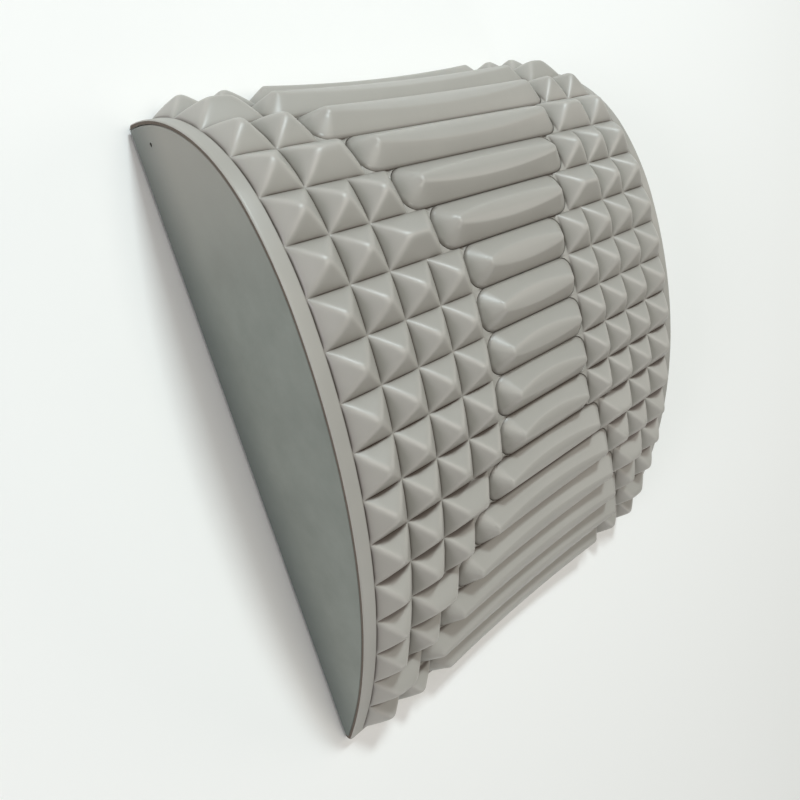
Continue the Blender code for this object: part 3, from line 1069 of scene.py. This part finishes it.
def pale_floor():
    """Round sheet of matt pale paper."""
    bm = bmesh.new()
    bmesh.ops.create_circle(bm, cap_ends=True, segments=128, radius=FLOOR_RADIUS)
    mesh = bpy.data.meshes.new("floor")
    bm.to_mesh(mesh)
    bm.free()
    floor = bpy.data.objects.new("floor", mesh)
    bpy.context.scene.collection.objects.link(floor)
    material, shader = new_finish("plain pale paper", roughness=0.9, specular=0.2)
    shader.inputs["Base Color"].default_value = linear("#FAFAF8")
    mesh.materials.append(material)


pale_floor()
print("floor", 2 * FLOOR_RADIUS, "m across")

# %% [markdown]
# ## Light
# The cushion is lit by a small cool window half way up over the heel, which draws the highlights
# on the ridges, and by a large warm ceiling light. Weaker lights stand at the near, far and toe
# sides. A sun lamp would be simpler, but has hard shadows. Each of these is a flat lamp turned to
# the cushion, and the wider it is, the softer its shadows are.

# %% Lamps
LIGHT_DISTANCE = 2.0
AIM_HEIGHT = 40.0 * MM
LAMPS = (  # name, bearing and height in degrees, strength, width and height in metres, colour
    ("window", 172, 45, 1.66, 0.3, 0.25, "#EDFBFF"),
    ("ceiling", 175, 84, 1.16, 1.2, 1.2, "#FEFAF0"),
    ("near side", 262, 19, 0.92, 0.8, 0.6, "#FBF8FF"),
    ("far side", 92, 33, 0.28, 0.8, 0.8, "#FFF2EB"),
    ("toe side", 12, 24, 0.38, 1.2, 0.8, "#FCFFFD"),
)


def soft_light(name, bearing, height, strength, width, tall, hex_colour):
    """Flat soft light turned to the cushion. Its strength means the same from any distance."""
    light = bpy.data.lights.new(name, "AREA")
    light.shape = "RECTANGLE"
    light.size = width
    light.size_y = tall
    light.energy = strength * math.pi * LIGHT_DISTANCE ** 2
    light.color = linear(hex_colour)[:3]
    turn, lift = math.radians(bearing), math.radians(height)
    ray = Vector((math.cos(lift) * math.cos(turn), math.cos(lift) * math.sin(turn),
                  math.sin(lift)))
    lamp = bpy.data.objects.new(name, light)
    lamp.location = ray * LIGHT_DISTANCE + Vector((0, 0, AIM_HEIGHT))
    lamp.rotation_euler = ray.to_track_quat("Z", "Y").to_euler()
    bpy.context.scene.collection.objects.link(lamp)


for lamp_settings in LAMPS:
    soft_light(*lamp_settings)
print("lamps:", ", ".join(settings[0] for settings in LAMPS))

# %% [markdown]
# ## The room
# Round the floor runs a pale wall that fades upwards, so that the cushion stands in a light room
# from every side. Walls could be built, but would block the lamps. The world's background takes
# their place: its strength depends only on how high one looks.

# %% The room
WALL_TOP = 0.32  # sine of the height at which the wall has faded
WALL_GLOW = 0.62
ROOF_GLOW = 0.12


def studio_room():
    """Pale wall round the floor, which fades to a dim ceiling."""
    room = bpy.data.worlds.new("studio")
    room.use_nodes = True
    ray = add_node(room, "ShaderNodeTexCoord").outputs["Generated"]
    parts = add_node(room, "ShaderNodeSeparateXYZ", {"Vector": ray})
    glow = add_node(room, "ShaderNodeMapRange", {
        "Value": parts.outputs["Z"], "From Min": 0.0, "From Max": WALL_TOP,
        "To Min": WALL_GLOW, "To Max": ROOF_GLOW}, interpolation_type="SMOOTHSTEP")
    background = room.node_tree.nodes["Background"]
    background.inputs["Color"].default_value = linear("#FFFFFF")
    room.node_tree.links.new(glow.outputs[0], background.inputs["Strength"])
    return room


bpy.context.scene.world = studio_room()
bpy.context.scene.view_settings.view_transform = "Standard"
print("room:", bpy.context.scene.world.name)

# %% [markdown]
# ## Camera
# The photo was taken close, from above the near heel, with the camera turned on its side. Its
# place could be found by eye. But the corners of the mould's grid can be counted in the photo, so
# its place and axes come from a fit to them. The small shift stands for the cut-out having been
# moved on its white ground.

# %% Camera
CAMERA_PLACE = (-0.08097, -0.2979, 0.3513)
CAMERA_RIGHT = (0.28088, 0.68922, 0.66789)
CAMERA_DOWN = (0.94332, -0.32643, -0.05985)
CAMERA_AHEAD = (0.17677, 0.64685, -0.74185)
lens = bpy.data.cameras.new("camera")
lens.lens = 33.552  # millimetres
lens.shift_x = -0.05753
lens.shift_y = -0.05111
camera = bpy.data.objects.new("camera", lens)
axes = Matrix((CAMERA_RIGHT, [-v for v in CAMERA_DOWN], [-v for v in CAMERA_AHEAD])).transposed()
camera.matrix_world = Matrix.Translation(CAMERA_PLACE) @ axes.to_4x4()
bpy.context.scene.collection.objects.link(camera)
bpy.context.scene.camera = camera
print("camera", [round(v, 3) for v in camera.location])
